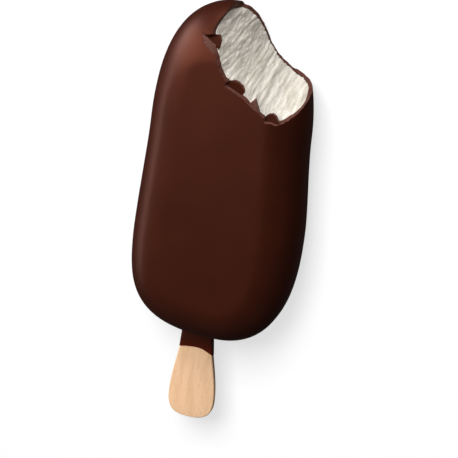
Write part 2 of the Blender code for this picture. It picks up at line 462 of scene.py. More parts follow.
@dataclass(frozen=True)
class SnappedMilkChocolate:
    """The inside of the coating where it snapped: dry, paler and grainy, with no gloss."""

    pale: str = "6A4036"
    dark: str = "46251B"
    roughness: float = 0.6
    gloss_level: float = 0.25
    crystal: Grain = Grain(0.5 * MM, detail=3.0, roughness=0.6, strength=0.5, depth=0.2 * MM)

    def material(self) -> Material:
        """Builds the finish."""
        material, shader = new_material(
            "snapped milk chocolate",
            {"Roughness": self.roughness, "IOR": 1.45, "Specular IOR Level": self.gloss_level},
        )
        tree = material.node_tree
        place = add_node(tree, "TexCoord").outputs["Object"]
        grain = self.crystal.add(shader, place)
        # The grain's height sets its colour as well as its relief. It is darker in the hollows and paler on
        # the peaks: painted shade and light over the broken chocolate's own paler colour.
        shown = add_ramp(tree, grain, ((0.36, self.dark), (0.62, self.pale)))
        tree.links.new(shown, shader.inputs["Base Color"])
        return material


@dataclass(frozen=True)
class BittenVanillaIceCream:
    """Whipped frozen cream, bitten through: matt, full of fine pores, and a little see-through."""

    pull: Euler
    cream: str = "E7E0D5"
    # The shade colour is painted shade: the streak pattern darkens the ice cream along the teeth's pull,
    # standing in for the shadow in the grooves of the tooth marks.
    shade: str = "C3BBAE"
    roughness: float = 0.6
    streak: float = 1.5 * MM
    stretch: float = 7.0
    pore: Grain = Grain(0.45 * MM, detail=3.0, roughness=0.6, strength=0.5, depth=0.15 * MM)

    def material(self) -> Material:
        """Builds the finish."""
        material, shader = new_material(
            "bitten vanilla ice cream",
            {
                "Roughness": self.roughness,
                "IOR": 1.33,
                "Subsurface Weight": 0.25,
                "Subsurface Scale": 0.5 * MM,
                "Subsurface Radius": (1.0, 0.9, 0.75),
            },
        )
        tree = material.node_tree
        place = add_node(tree, "TexCoord").outputs["Object"]
        drawn = add_node(
            tree,
            "Mapping",
            {"vector_type": "TEXTURE"},
            {"Vector": place, "Rotation": self.pull, "Scale": (1.0, 1.0, self.stretch)},
        ).outputs["Vector"]
        streak = add_node(
            tree,
            "TexNoise",
            links={"Vector": drawn, "Scale": 1 / self.streak, "Detail": 4.0, "Roughness": 0.6},
        )
        # Painted shade along the streaks, from the cream colour to the shade colour.
        shown = add_ramp(tree, streak.outputs["Fac"], ((0.36, self.shade), (0.58, self.cream)))
        tree.links.new(shown, shader.inputs["Base Color"])
        self.pore.add(shader, place)
        return material


@dataclass(frozen=True)
class StampedBirch:
    """Bare birch, sliced and stamped: pale, matt, with short fine flecks along the grain."""

    pale: str = "FFD2A7"
    warm: str = "F6C79A"
    fleck: str = "DAA67C"
    roughness: float = 0.58
    ring: float = 1.6 * MM
    fibre: Grain = Grain(0.26 * MM, detail=2.0, roughness=0.5, strength=0.3, depth=0.05 * MM)
    stretch: float = 0.14
    grain_turn: float = math.radians(-1.0)

    def material(self) -> Material:
        """Builds the finish, with its grain along the stick."""
        material, shader = new_material("stamped birch", {"Roughness": self.roughness, "IOR": 1.5})
        tree = material.node_tree
        place = add_node(tree, "TexCoord").outputs["Object"]
        along = add_node(
            tree,
            "Mapping",
            links={
                "Vector": place,
                "Rotation": (0.0, 0.0, self.grain_turn),
                "Scale": (1.0, self.stretch, 1.0),
            },
        ).outputs["Vector"]
        ring = add_node(
            tree,
            "TexNoise",
            links={"Vector": along, "Scale": 1 / self.ring, "Detail": 2.0, "Roughness": 0.5},
        )
        body = add_ramp(tree, ring.outputs["Fac"], ((0.35, self.warm), (0.6, self.pale)))
        fibre = self.fibre.add(shader, along)
        fleck = add_node(
            tree,
            "MapRange",
            links={"Value": fibre, "From Min": 0.6, "From Max": 0.75, "To Max": 0.6},
        )
        shown = add_node(
            tree,
            "Mix",
            {"data_type": "RGBA"},
            {"Factor": fleck.outputs["Result"], "A": body, "B": colour(self.fleck)},
        )
        tree.links.new(shown.outputs["Result"], shader.inputs["Base Color"])
        return material


@dataclass(frozen=True)
class StudioTable:
    """An opal acrylic sheet lit from below: white all over, it keeps only the faintest shadow."""

    white: str = "A0A0A1"
    glow_colour: str = "FFFFFF"
    glow: float = 0.675
    roughness: float = 0.9

    def material(self) -> Material:
        """Builds the finish."""
        constants = {
            "Base Color": colour(self.white),
            "Roughness": self.roughness,
            "Specular IOR Level": 0.0,
            "Emission Color": colour(self.glow_colour),
            "Emission Strength": self.glow,
        }
        return new_material("opal acrylic table", constants)[0]


# ---------------------------------------------------------------------------------------------------
# The bar's form
# ---------------------------------------------------------------------------------------------------


@dataclass(frozen=True)
class Fineness:
    """How finely an outline and its rounded edge are divided."""

    outline: int
    edge: int


@dataclass(frozen=True)
class BarForm:
    """The body of the bar: a flat slab with nearly full-round edges, thinner towards its domed tip."""

    tip_y: float
    half_width: float
    thickness: float
    body_length: float = 100.4 * MM
    foot_x: float = 3.9 * MM
    foot_left_length: float = 28.0 * MM
    foot_right_length: float = 34.5 * MM
    foot_left_fullness: tuple[float, float] = (0.53, 0.94)
    foot_right_fullness: tuple[float, float] = (0.32, 0.97)
    shoulder_half_width: float = 23.2 * MM
    dome_length: float = 37.3 * MM
    dome_fullness: tuple[float, float] = (0.76, 0.49)
    crest_x: float = -2.9 * MM
    crest_drop: float = 1.35 * MM
    side_handle: float = 8.0 * MM
    edge_radius: float = 11.0 * MM
    flat_half_width: float = 16.8 * MM
    flat_dome_length: float = 20.5 * MM
    flat_squareness: float = 2.6
    slope_length: float = 38.0 * MM
    slope_fade: float = 12.0 * MM
    slope_onset: float = 2.5 * MM
    tip_slope: float = math.radians(10.0)

    @classmethod
    def from_frame(cls) -> BarForm:
        """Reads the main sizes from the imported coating."""
        _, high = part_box("chocolate_coating")
        return cls(tip_y=high.y, half_width=high.x, thickness=high.z)

    @property
    def foot_y(self) -> float:
        """Where the body ends at the stick."""
        return self.tip_y - self.body_length

    @property
    def middle_z(self) -> float:
        """The height of the bar's middle plane."""
        return self.thickness / 2

    def fullness(self, x: np.ndarray, y: np.ndarray) -> np.ndarray:
        """The share of the full thickness at places: it slopes off outside the flat, towards the tip.

        Args:
            x: Distances across the bar.
            y: Distances along it.

        Returns:
            One share for each place.
        """
        up = np.clip(y - self.tip_y + self.slope_length, 0, None)
        power = self.flat_squareness
        ring = (np.abs(x) / self.flat_half_width) ** power + (up / self.flat_dome_length) ** power
        ring = np.maximum(ring, TINY) ** (1 / power)
        beyond = np.hypot(x, up) * np.clip(1 - 1 / np.maximum(ring, 1.0), 0, None)
        beyond = np.hypot(beyond, self.slope_onset) - self.slope_onset
        share = np.clip(up / self.slope_fade, 0, 1)
        return 1 - beyond * share**2 * (3 - 2 * share) * math.tan(self.tip_slope) / self.middle_z

    def front_height(self, x: float, y: float) -> float:
        """The height of the flat of the front face at a place."""
        return self.middle_z * (1 + float(self.fullness(np.array([x]), np.array([y]))[0]))

    def knots(self) -> Knots:
        """The outline's knots, anticlockwise: each place, with its handles before and after."""
        right_down, right_in = self.foot_right_fullness
        left_down, left_in = self.foot_left_fullness
        low_left = self.foot_y + self.foot_left_length
        low_right = self.foot_y + self.foot_right_length
        high = self.tip_y - self.dome_length
        crest = self.tip_y - self.crest_drop
        dome_down, dome_in = self.dome_fullness
        dome = dome_down * (crest - high)
        crest_right = dome_in * (self.shoulder_half_width - self.crest_x)
        crest_left = dome_in * (self.shoulder_half_width + self.crest_x)
        foot_right = right_in * (self.half_width - self.foot_x)
        foot_left = left_in * (self.half_width + self.foot_x)
        wide, shoulder, side = self.half_width, self.shoulder_half_width, self.side_handle
        rows = (
            ((wide, low_right), (0, -right_down * self.foot_right_length), (0, side)),
            ((shoulder, high), (0, -side), (0, dome)),
            ((self.crest_x, crest), (crest_right, 0), (-crest_left, 0)),
            ((-shoulder, high), (0, dome), (0, -side)),
            ((-wide, low_left), (0, side), (0, -left_down * self.foot_left_length)),
            ((self.foot_x, self.foot_y), (-foot_left, 0), (foot_right, 0)),
        )
        return [tuple(Vector((*part, 0.0)) for part in row) for row in rows]

    def solid(self, name: str, inset: float, fineness: Fineness, skin: float) -> Object:
        """The bar's form, drawn in by the same amount on every side.

        Args:
            name: The object's name.
            inset: How far the surface lies inside the bar's own.
            fineness: How finely the outline is divided.
            skin: The side of the surface's faces.

        Returns:
            A closed mesh object.
        """
        obj = rounded_plate(
            name,
            self.knots(),
            half_height=self.thickness / 2 - inset,
            edge=self.edge_radius - inset,
            grow=-inset,
            fineness=fineness,
        )
        even_skin(obj, skin)
        places = points_of(obj)
        places[:, 2] = self.middle_z + places[:, 2] * self.fullness(places[:, 0], places[:, 1])
        place_points(obj, places)
        return obj


def rounded_plate(
    name: str,
    knots: Knots,
    half_height: float,
    edge: float,
    grow: float,
    fineness: Fineness,
) -> Object:
    """A plate about z = 0 with a drawn outline and rounded edges.

    Args:
        name: The object's name.
        knots: The outline's knots, each a place with its handles before and after.
        half_height: Half the plate's thickness.
        edge: The radius of its edges.
        grow: How far the plate reaches past the outline.
        fineness: How finely the outline and the edge are divided.

    Returns:
        A closed mesh object.
    """
    curve = add_object(bpy.ops.curve.primitive_bezier_circle_add, name, radius=1.0).data
    spline = curve.splines[0]
    spline.bezier_points.add(len(knots) - len(spline.bezier_points))
    for point, (place, before, after) in zip(spline.bezier_points, knots):
        point.handle_left_type = point.handle_right_type = "FREE"
        point.co = place
        point.handle_left = place + before
        point.handle_right = place + after
    curve.dimensions = "2D"
    curve.fill_mode = "BOTH"
    curve.resolution_u = fineness.outline
    curve.extrude = half_height - edge
    curve.bevel_depth = edge
    curve.bevel_resolution = fineness.edge
    curve.offset = grow - edge
    bpy.ops.object.convert(target="MESH")
    obj = bpy.context.active_object
    obj.data.name = name
    with editing(obj):
        bpy.ops.mesh.remove_doubles(threshold=TOUCH)
    face_out(obj)
    return obj


# ---------------------------------------------------------------------------------------------------
# The bite
# ---------------------------------------------------------------------------------------------------


@dataclass(frozen=True)
class Bite:
    """The bitten corner: a surface ruled from a line on the front face to a line on the back face.

    Both lines are drawn from the centre of the mouth, in millimetres along it and out of the bar.
    """

    form: BarForm
    centre_x: float = 10.5 * MM
    centre_below_tip: float = 14.2 * MM
    turn: float = math.radians(-36.5)
    front: Line = (
        (-16.6, 8.0),
        (-17.9, 0.9),
        (-16.4, -6.0),
        (-9.1, -10.4),
        (-3.4, -12.4),
        (12.6, -12.2),
        (15.8, -10.5),
        (17.6, -5.7),
        (15.9, 7.0),
    )
    back: Line = (
        (-17.4, 10.0),
        (-16.8, 2.9),
        (-14.1, 4.9),
        (-9.8, 2.1),
        (-3.0, -2.1),
        (4.8, -2.4),
        (11.7, 3.1),
        (12.9, 2.6),
        (14.2, 10.0),
    )
    ease: float = 1.17
    pull_slant: float = 22.0
    pull_skew: float = 11.0
    reach: float = 4.0 * MM
    room: float = 34.0 * MM
    line_steps: int = 24

    def place(self, along: np.ndarray, out: np.ndarray, height: np.ndarray) -> np.ndarray:
        """Turns places in the bite's own axes into places on the bar.

        Args:
            along: Distance along the mouth.
            out: Distance out of the bar.
            height: Height above the table.

        Returns:
            Places, one row each.
        """
        across = np.array([math.cos(self.turn), math.sin(self.turn)])
        outward = np.array([-across[1], across[0]])
        centre = np.array([self.centre_x, self.form.tip_y - self.centre_below_tip])
        flat = centre + np.outer(along, across) + np.outer(out, outward)
        return np.column_stack([flat, height])

    def sheet(self, name: str, step: float) -> BiteSheet:
        """The bite's surface as an open grid, a little deeper than the bar on both sides.

        Args:
            name: The object's name.
            step: The side of the grid's faces.

        Returns:
            The sheet.
        """
        front = smooth_line(self.front, self.line_steps) * MM
        back = smooth_line(self.back, self.line_steps) * MM
        middle = (front + back) / 2
        run = np.concatenate([[0.0], np.cumsum(np.linalg.norm(np.diff(middle, axis=0), axis=1))])
        deep = self.form.thickness + 2 * self.reach
        obj = add_object(
            bpy.ops.mesh.primitive_grid_add,
            name,
            x_subdivisions=round(run[-1] / step),
            y_subdivisions=round(deep / step),
            size=1.0,
        )
        flat = points_of(obj)
        along = (flat[:, 0] + 0.5) * run[-1]
        depth = (0.5 - flat[:, 1]) * deep - self.reach
        share = np.clip(depth / self.form.thickness, 0, 1)
        blend = 1 - (1 - share) ** self.ease
        ends = [np.interp(along, run, line[:, axis]) for line in (front, back) for axis in (0, 1)]
        place_points(
            obj,
            self.place(
                ends[0] + (ends[2] - ends[0]) * blend,
                ends[1] + (ends[3] - ends[1]) * blend,
                self.form.thickness - depth,
            ),
        )
        return BiteSheet(self, obj, along, depth, run[-1])

    def streak_axes(self, places: np.ndarray) -> np.ndarray:
        """Places on the bar in the axes of the teeth's pull: along the mouth, across the pull, along it.

        Args:
            places: Places on the bar, one row each.

        Returns:
            The same places in those axes, one row each.
        """
        across = np.array([math.cos(self.turn), math.sin(self.turn), 0.0])
        outward = np.array([-across[1], across[0], 0.0])
        slant = math.radians(self.pull_slant)
        pull = outward * math.sin(slant) - np.array([0.0, 0.0, math.cos(slant)])
        flat = np.cross(pull, across)
        skew = math.radians(self.pull_skew)
        pull, across = (
            pull * math.cos(skew) - across * math.sin(skew),
            across * math.cos(skew) + pull * math.sin(skew),
        )
        return places @ np.column_stack([across, flat, pull])

    def pull(self) -> Euler:
        """The turn from the bar's axes to those of the teeth's pull."""
        return Matrix(self.streak_axes(np.eye(3))).to_euler()


@dataclass
class BiteSheet:
    """The bite's surface while it is shaped, before it is closed into a cutter.

    Attributes:
        bite: The bite that it belongs to.
        obj: The mesh object.
        along: For each vertex, its distance along the line of the bite.
        depth: For each vertex, its depth below the front face.
        run: The whole length of the line.
    """

    bite: Bite
    obj: Object
    along: np.ndarray
    depth: np.ndarray
    run: float

    def press(self, distance: np.ndarray) -> None:
        """Moves the surface deeper into the bar by a distance at each vertex."""
        outward = self.bite.place(np.zeros(1), np.ones(1), np.zeros(1))
        outward = (outward - self.bite.place(np.zeros(1), np.zeros(1), np.zeros(1)))[0]
        normals = normals_of(self.obj)
        middle = len(normals) // 2
        if normals[middle] @ outward > 0:
            normals = -normals
        place_points(self.obj, points_of(self.obj) + normals * distance[:, None])

    def close(self) -> Object:
        """Closes the surface into a solid that holds all of the bitten space.

        Returns:
            The solid.
        """
        count = len(self.along)
        with editing(self.obj):
            bpy.ops.mesh.extrude_region_move(TRANSFORM_OT_translate={"value": (0, 0, 0)})
        places = points_of(self.obj)
        room = self.bite.room
        spread = (self.along / self.run - 0.5) * 2 * room
        places[count:] = self.bite.place(spread, np.full(count, room), places[count:, 2])
        place_points(self.obj, places)
        modify(self.obj, "TRIANGULATE")
        face_out(self.obj)
        return self.obj


# ---------------------------------------------------------------------------------------------------
# The pieces
# ---------------------------------------------------------------------------------------------------


def finish_piece(piece: Object, slot: Slot, *nodes: str) -> None:
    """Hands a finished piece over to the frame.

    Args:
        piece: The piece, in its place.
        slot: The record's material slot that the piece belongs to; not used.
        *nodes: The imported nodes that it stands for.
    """
    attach(piece, BODY)
    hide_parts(*nodes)
    LOG.info("%s: %d faces for %s", piece.name, len(piece.data.polygons), ", ".join(nodes))


@dataclass
class Chip:
    """A chip of coating that the bite broke off the front and pressed down, still held at its outer edge.

    Places are x and the distance below the dome's tip, in millimetres. The free edge is drawn in parts of
    the outer edge's length, along it and across it into the bite.
    """

    node: str
    name: str
    start: tuple[float, float]
    end: tuple[float, float]
    reach: Line
    slope: float
    form: BarForm
    thickness: float = 1.2 * MM
    sink: float = 1.0 * MM
    break_run: tuple[float, float] = (0.5 * MM, 0.5 * MM)
    bed: float = 0.15 * MM
    tuck: float = 0.25 * MM
    clearance: float = 2.0 * MM
    edge_softness: float = 0.1 * MM
    edge_cuts: int = 3
    skin_tolerance: float = 0.1
    crumble: float = 0.5 * MM
    crumble_depth: float = 0.12 * MM
    crumble_onset: float = 4.0
    crease: float = 30.0

    def corners(self) -> list[Vector]:
        """The chip's corners from above, its outer edge first."""
        first, last = (Vector((x * MM, self.form.tip_y - y * MM)) for x, y in (self.start, self.end))
        edge = last - first
        inward = Vector((-edge.y, edge.x))
        return [first, last] + [first + edge * along + inward * across for along, across in self.reach]

    def top(self, x: np.ndarray, y: np.ndarray) -> np.ndarray:
        """The height of the chip's upper face at places seen from above."""
        first, last = self.corners()[:2]
        edge = last - first
        inward = Vector((-edge.y, edge.x)).normalized()
        along = ((x - first.x) * edge.x + (y - first.y) * edge.y) / edge.length_squared
        start, end = (self.form.front_height(corner.x, corner.y) - self.sink for corner in (first, last))
        fall = math.tan(math.radians(self.slope))
        return start + (end - start) * along - fall * ((x - first.x) * inward.x + (y - first.y) * inward.y)

    def prism(self, name: str, low: float, high: float | None) -> Object:
        """An upright prism on the chip's outline.

        Args:
            name: The object's name.
            low: How far its lower face lies from the chip's upper face.
            high: How far its upper face lies from it, or None for one clear above the bar.

        Returns:
            The prism.
        """
        obj = column(name, self.corners(), 0.0, MM)
        places = points_of(obj)
        upper = places[:, 2] > MM / 2
        places[:, 2] = self.top(places[:, 0], places[:, 1]) + low
        places[upper, 2] += (high or 0.0) - low
        if high is None:
            places[upper, 2] = self.form.thickness + self.clearance
        place_points(obj, places)
        face_out(obj)
        return obj

    def pocket(self, snapped: Material) -> Object:
        """The space over the chip, with a slanted break along its outer edge.

        Args:
            snapped: The finish of the break.

        Returns:
            A cutter.
        """
        obj = self.prism(f"{self.name} pocket", -self.bed, None)
        first, last = self.corners()[:2]
        edge = (last - first).normalized()
        outward = Vector((edge.y, -edge.x))
        places = points_of(obj)
        high = self.form.thickness + self.clearance
        upper = places[:, 2] > high - MM
        for end, run in zip((first, last), self.break_run):
            rise = (high - self.top(end.x, end.y) + self.bed) / (self.sink + self.bed)
            near = upper & (np.hypot(places[:, 0] - end.x, places[:, 1] - end.y) < TOUCH)
            places[near, :2] += np.array(outward) * run * rise
        place_points(obj, places)
        obj.data.materials.append(snapped)
        return obj

    def build(self, dipped: Material, snapped: Material) -> Object:
        """Builds the chip.

        Args:
            dipped: The finish of its outer skin.
            snapped: The finish of its broken sides.

        Returns:
            The finished piece.
        """
        obj = self.prism(self.name, -self.thickness, 0.0)
        places = points_of(obj)
        first, last = self.corners()[:2]
        edge = (last - first).normalized()
        for end, way in ((first, -1), (last, 1)):
            near = np.hypot(places[:, 0] - end.x, places[:, 1] - end.y) < TOUCH
            places[near, :2] += np.array((edge.y + way * edge.x, way * edge.y - edge.x)) * self.tuck
        place_points(obj, places)
        modify(obj, "BEVEL", width=self.edge_softness, segments=2)
        with editing(obj):
            bpy.ops.mesh.quads_convert_to_tris()
            bpy.ops.mesh.subdivide(number_cuts=self.edge_cuts)
        obj.data.materials.append(dipped)
        obj.data.materials.append(snapped)
        tilt = math.cos(math.radians(self.slope)) - self.skin_tolerance
        for face in obj.data.polygons:
            face.material_index = 0 if face.normal.z > tilt else 1
        places = points_of(obj)
        height = self.top(places[:, 0], places[:, 1])
        below = np.clip((height - places[:, 2]) / self.thickness, 0, 1)
        crumble = rough(places, (self.crumble,) * 3, seed=3) * self.crumble_depth
        crumble *= np.minimum(1, below * self.crumble_onset)
        place_points(obj, places + normals_of(obj) * crumble[:, None])
        shade(obj, self.crease)
        finish_piece(obj, Slot.COATING, self.node)
        return obj


@dataclass
class Filling:
    """The ice cream: it fills the coating, and its bitten face keeps the streaks that the teeth drew."""

    form: BarForm
    bite: Bite
    coating: float
    unevenness: float = 0.22 * MM
    lump: float = 7 * MM
    skin_step: float = 0.9 * MM
    face_step: float = 0.24 * MM
    overlap: float = 0.06 * MM
    tip_pool: float = 0.7 * MM
    tip_pool_length: float = 12.0 * MM
    streak_width: float = 0.95 * MM
    streak_length: float = 10.0 * MM
    streak_depth: float = 0.40 * MM
    drift: float = 0.9 * MM
    drift_size: tuple[float, float, float] = (9 * MM, 9 * MM, 12 * MM)
    lump_depth: float = 0.25 * MM
    lump_size: tuple[float, float, float] = (6 * MM, 6 * MM, 8 * MM)
    crease: float = 60.0

    STREAKS: ClassVar[tuple[tuple[float, float, float, int], ...]] = (
        (0.6, 2.4, 1.3, 2),
        (0.8, 1.0, 1.0, 3),
        (0.5, 0.5, 0.3, 4),
        (0.35, 0.55, 0.076, 6),
    )
    """The streaks from broad to torn: a share of the depth, of the width and of the length, and a seed."""

    def hollow(self) -> Object:
        """The inside of the coating, a little uneven as the frozen ice cream was when it was dipped."""
        obj = self.form.solid("hollow", self.coating, Fineness(outline=24, edge=12), self.skin_step)
        places = points_of(obj)
        near = np.clip((places[:, 1] - self.form.tip_y) / self.tip_pool_length + 1, 0, 1)
        places[:, 1] -= near**2 * self.tip_pool
        place_points(obj, places)
        wave = rough(points_of(obj), (self.lump,) * 3, seed=5) * self.unevenness
        place_points(obj, points_of(obj) + normals_of(obj) * wave[:, None])
        return obj

    def toothmarks(self, sheet: BiteSheet) -> np.ndarray:
        """How much deeper than its own surface the bite goes at each vertex."""
        pulled = self.bite.streak_axes(points_of(sheet.obj))
        pulled[:, 0] += rough(pulled, self.drift_size, seed=1) * self.drift
        relief = np.zeros(len(pulled))
        for share, width, length, seed in self.STREAKS:
            size = (self.streak_width * width, self.streak_width * width, self.streak_length * length)
            relief += rough(pulled, size, seed) * share
        return relief * self.streak_depth + rough(pulled, self.lump_size, seed=7) * self.lump_depth

    def build(self, hollow: Object, chips: Sequence[Chip], finish: Material) -> Object:
        """Builds the ice cream.

        Args:
            hollow: The inside of the coating.
            chips: The chips that are pressed into it.
            finish: Its finish.

        Returns:
            The finished piece.
        """
        obj = duplicate(hollow, "bitten_ice_cream")
        with editing(obj):
            bpy.ops.transform.shrink_fatten(value=self.overlap)
        sheet = self.bite.sheet("bite through the ice cream", self.face_step)
        sheet.press(self.toothmarks(sheet))
        cutter = sheet.close()
        cutter.data.materials.append(finish)
        obj.data.materials.append(finish)
        combine(obj, cutter, Join.CUT)
        discard(cutter)
        for chip in chips:
            pocket = chip.pocket(finish)
            combine(obj, pocket, Join.CUT)
            discard(pocket)
        shade(obj, self.crease)
        finish_piece(obj, Slot.ICE_CREAM, "ice_cream")
        return obj


@dataclass
class Coating:
    """The dipped coating: a thin shell with a snapped edge round the bite and a sleeve down the stick."""

    form: BarForm
    bite: Bite
    thickness: float
    skin_step: float = 0.75 * MM
    wave: float = 16 * MM
    wave_height: float = 0.06 * MM
    snap_step: float = 0.8 * MM
    snap_size: tuple[float, float, float] = (1.7 * MM, 4 * MM, MM)
    snap_jag: float = 0.22 * MM
    snap_facet: float = 0.12 * MM
    crease: float = 32.0

    def outside(self) -> Object:
        """The coating's outer form, filled, with the long soft waves of a dip."""
        obj = self.form.solid("dipped_coating", 0.0, Fineness(outline=32, edge=16), self.skin_step)
        wave = rough(points_of(obj), (self.wave,) * 3, seed=9) * self.wave_height
        place_points(obj, points_of(obj) + normals_of(obj) * (wave - self.wave_height / 2)[:, None])
        return obj

    def snap(self, snapped: Material) -> Object:
        """The bite as the coating broke, in facets.

        Args:
            snapped: The finish of the break.

        Returns:
            A cutter.
        """
        sheet = self.bite.sheet("bite through the coating", self.snap_step)
        flat = np.column_stack([sheet.along, sheet.depth, np.zeros_like(sheet.along)])
        jag = rough(flat, self.snap_size, seed=12) * self.snap_jag
        facets = np.random.default_rng(SEED).uniform(-self.snap_facet, self.snap_facet, len(sheet.along))
        sheet.press(jag + facets)
        cutter = sheet.close()
        cutter.data.materials.append(snapped)
        return cutter

    def build(
        self,
        hollow: Object,
        chips: Sequence[Chip],
        sleeve: Object,
        spur: Object,
        dipped: Material,
        snapped: Material,
    ) -> Object:
        """Builds the coating.

        Args:
            hollow: Its inside.
            chips: The chips that broke out of it.
            sleeve: The part of it that runs down the stick.
            spur: The sliver that stands on its broken edge.
            dipped: The finish of its skin.
            snapped: The finish of its broken edge.

        Returns:
            The finished piece.
        """
        obj = self.outside()
        obj.data.materials.append(dipped)
        cutter = self.snap(snapped)
        hollow.data.materials.append(dipped)
        combine(obj, sleeve, Join.ADD)
        combine(obj, cutter, Join.CUT)
        combine(obj, hollow, Join.CUT)
        for chip in chips:
            pocket = chip.pocket(snapped)
            combine(obj, pocket, Join.CUT)
            discard(pocket)
        combine(obj, spur, Join.ADD)
        discard(cutter, sleeve, spur)
        shade(obj, self.crease)
        finish_piece(obj, Slot.COATING, "chocolate_coating")
        return obj


@dataclass
class Stick:
    """The birch stick: stamped from thin veneer, waisted, and round at both ends."""

    form: BarForm
    end_y: float
    axis_x: float = -2.7 * MM
    turn: float = math.radians(1.0)
    thickness: float = 2.0 * MM
    edge: float = 0.35 * MM
    length: float = 80.0 * MM
    half_width: float = 4.2 * MM
    flare_half_width: float = 7.1 * MM
    end_length: float = 6.6 * MM
    end_fullness: float = 0.74
    flare_length: float = 24.0 * MM
    round_handle: float = 0.55
    sleeve_wall: float = 0.45 * MM
    sleeve_lip: float = 0.12 * MM
    sleeve_top: float = 2.0 * MM
    sleeve_left: float = 5.2 * MM
    sleeve_crest: float = 4.6 * MM
    sleeve_right: float = 6.5 * MM
    sleeve_squareness: float = 8.0
    sleeve_rings: int = 20
    sleeve_segments: int = 96
    crease: float = 40.0

    def knots(self) -> Knots:
        """The outline's knots about the stick's own axis: each place, with its handles."""
        inner_y = self.end_y + self.length
        half, flare = self.half_width, self.flare_half_width
        flare_y = self.end_y + self.end_length
        waist_y = flare_y + self.flare_length
        pull = self.flare_length / 3
        side = self.end_fullness * flare
        down = self.end_fullness * self.end_length
        round_end = self.round_handle * half
        rows = (
            ((0, inner_y), (round_end, 0), (-round_end, 0)),
            ((-half, inner_y - half), (0, round_end), (0, -pull)),
            ((-half, waist_y), (0, pull), (0, -pull)),
            ((-flare, flare_y), (0, pull), (0, -down)),
            ((0, self.end_y), (-side, 0), (side, 0)),
            ((flare, flare_y), (0, -down), (0, pull)),
            ((half, waist_y), (0, -pull), (0, pull)),
            ((half, inner_y - half), (0, -pull), (0, round_end)),
        )
        return [tuple(Vector((*part, 0.0)) for part in row) for row in rows]

    def stand(self, obj: Object) -> None:
        """Moves a mesh drawn about the stick's axis to where the stick stands."""
        foot = Vector((0, self.form.foot_y, 0))
        place = Matrix.Translation((self.axis_x, self.form.foot_y, self.form.middle_z))
        obj.data.transform(place @ Matrix.Rotation(self.turn, 4, "Z") @ Matrix.Translation(-foot))

    def half_width_at(self, y: np.ndarray) -> np.ndarray:
        """The stick's half width at distances along the bar, between its waist and its flare."""
        waist_y = self.end_y + self.end_length + self.flare_length
        share = np.clip((waist_y - y) / self.flare_length, 0, 1)
        return self.half_width + (self.flare_half_width - self.half_width) * share**2 * (3 - 2 * share)

    def sleeve(self, dipped: Material) -> Object:
        """The coating that ran down over the stick and thins out to a lip, which hangs lower on the right.

        Args:
            dipped: Its finish.

        Returns:
            A closed solid round the stick.
        """
        rings = self.sleeve_rings
        obj = add_object(
            bpy.ops.mesh.primitive_uv_sphere_add, "sleeve", segments=self.sleeve_segments, ring_count=rings
        )
        ball = points_of(obj)
        ring = np.arccos(np.clip(ball[:, 2], -1, 1)) / math.pi * rings
        down = np.clip((ring - 1) / (rings - 2), 0, 1)
        inside = np.minimum(1, np.minimum(ring, rings - ring))
        round_share = np.column_stack([ball[:, 0], ball[:, 1]])
        round_share /= np.maximum(np.linalg.norm(round_share, axis=1, keepdims=True), TINY)
        power = self.sleeve_squareness
        spread = (np.abs(round_share) ** power).sum(axis=1, keepdims=True)
        square = round_share / np.maximum(spread, TINY) ** (1 / power)
        left, crest, right = self.sleeve_left, self.sleeve_crest, self.sleeve_right
        across = square[:, 0] * inside
        lip = crest + np.where(across > 0, right - crest, left - crest) * across**2
        y = self.form.foot_y + self.sleeve_top - (self.sleeve_top + lip) * down
        wall = self.sleeve_wall + (self.sleeve_lip - self.sleeve_wall) * down**2
        places = np.column_stack(
            [
                square[:, 0] * (self.half_width_at(y) + wall) * inside,
                y,
                square[:, 1] * (self.thickness / 2 + wall) * inside,
            ]
        )
        place_points(obj, places)
        face_out(obj)
        self.stand(obj)
        obj.data.materials.append(dipped)
        return obj

    def build(self, finish: Material) -> Object:
        """Builds the stick.

        Args:
            finish: Its finish.

        Returns:
            The finished piece.
        """
        fineness = Fineness(outline=24, edge=4)
        obj = rounded_plate("birch_stick", self.knots(), self.thickness / 2, self.edge, 0.0, fineness)
        self.stand(obj)
        obj.data.materials.append(finish)
        shade(obj, self.crease)
        # It would show as a pale line in the gloss of the coating's foot.
        obj.visible_glossy = False
        finish_piece(obj, Slot.STICK, "stick")
        return obj


@dataclass
class Spur:
    """A sliver of coating left standing on the broken edge, pointing over the ice cream."""

    form: BarForm
    thickness: float
    corners: Line = ((7.0, 27.6), (9.0, 25.4), (10.6, 29.0), (8.6, 30.2))
    sink: float = 0.1 * MM

    def build(self, snapped: Material) -> Object:
        """The spur as a solid to join to the coating.

        Args:
            snapped: Its finish.

        Returns:
            A closed solid.
        """
        corners = [(x * MM, self.form.tip_y - y * MM) for x, y in self.corners]
        low = self.form.thickness - self.thickness
        obj = column("spur", corners, low, self.thickness - self.sink)
        face_out(obj)
        obj.data.materials.append(snapped)
        return obj


# ---------------------------------------------------------------------------------------------------
# The studio
# ---------------------------------------------------------------------------------------------------


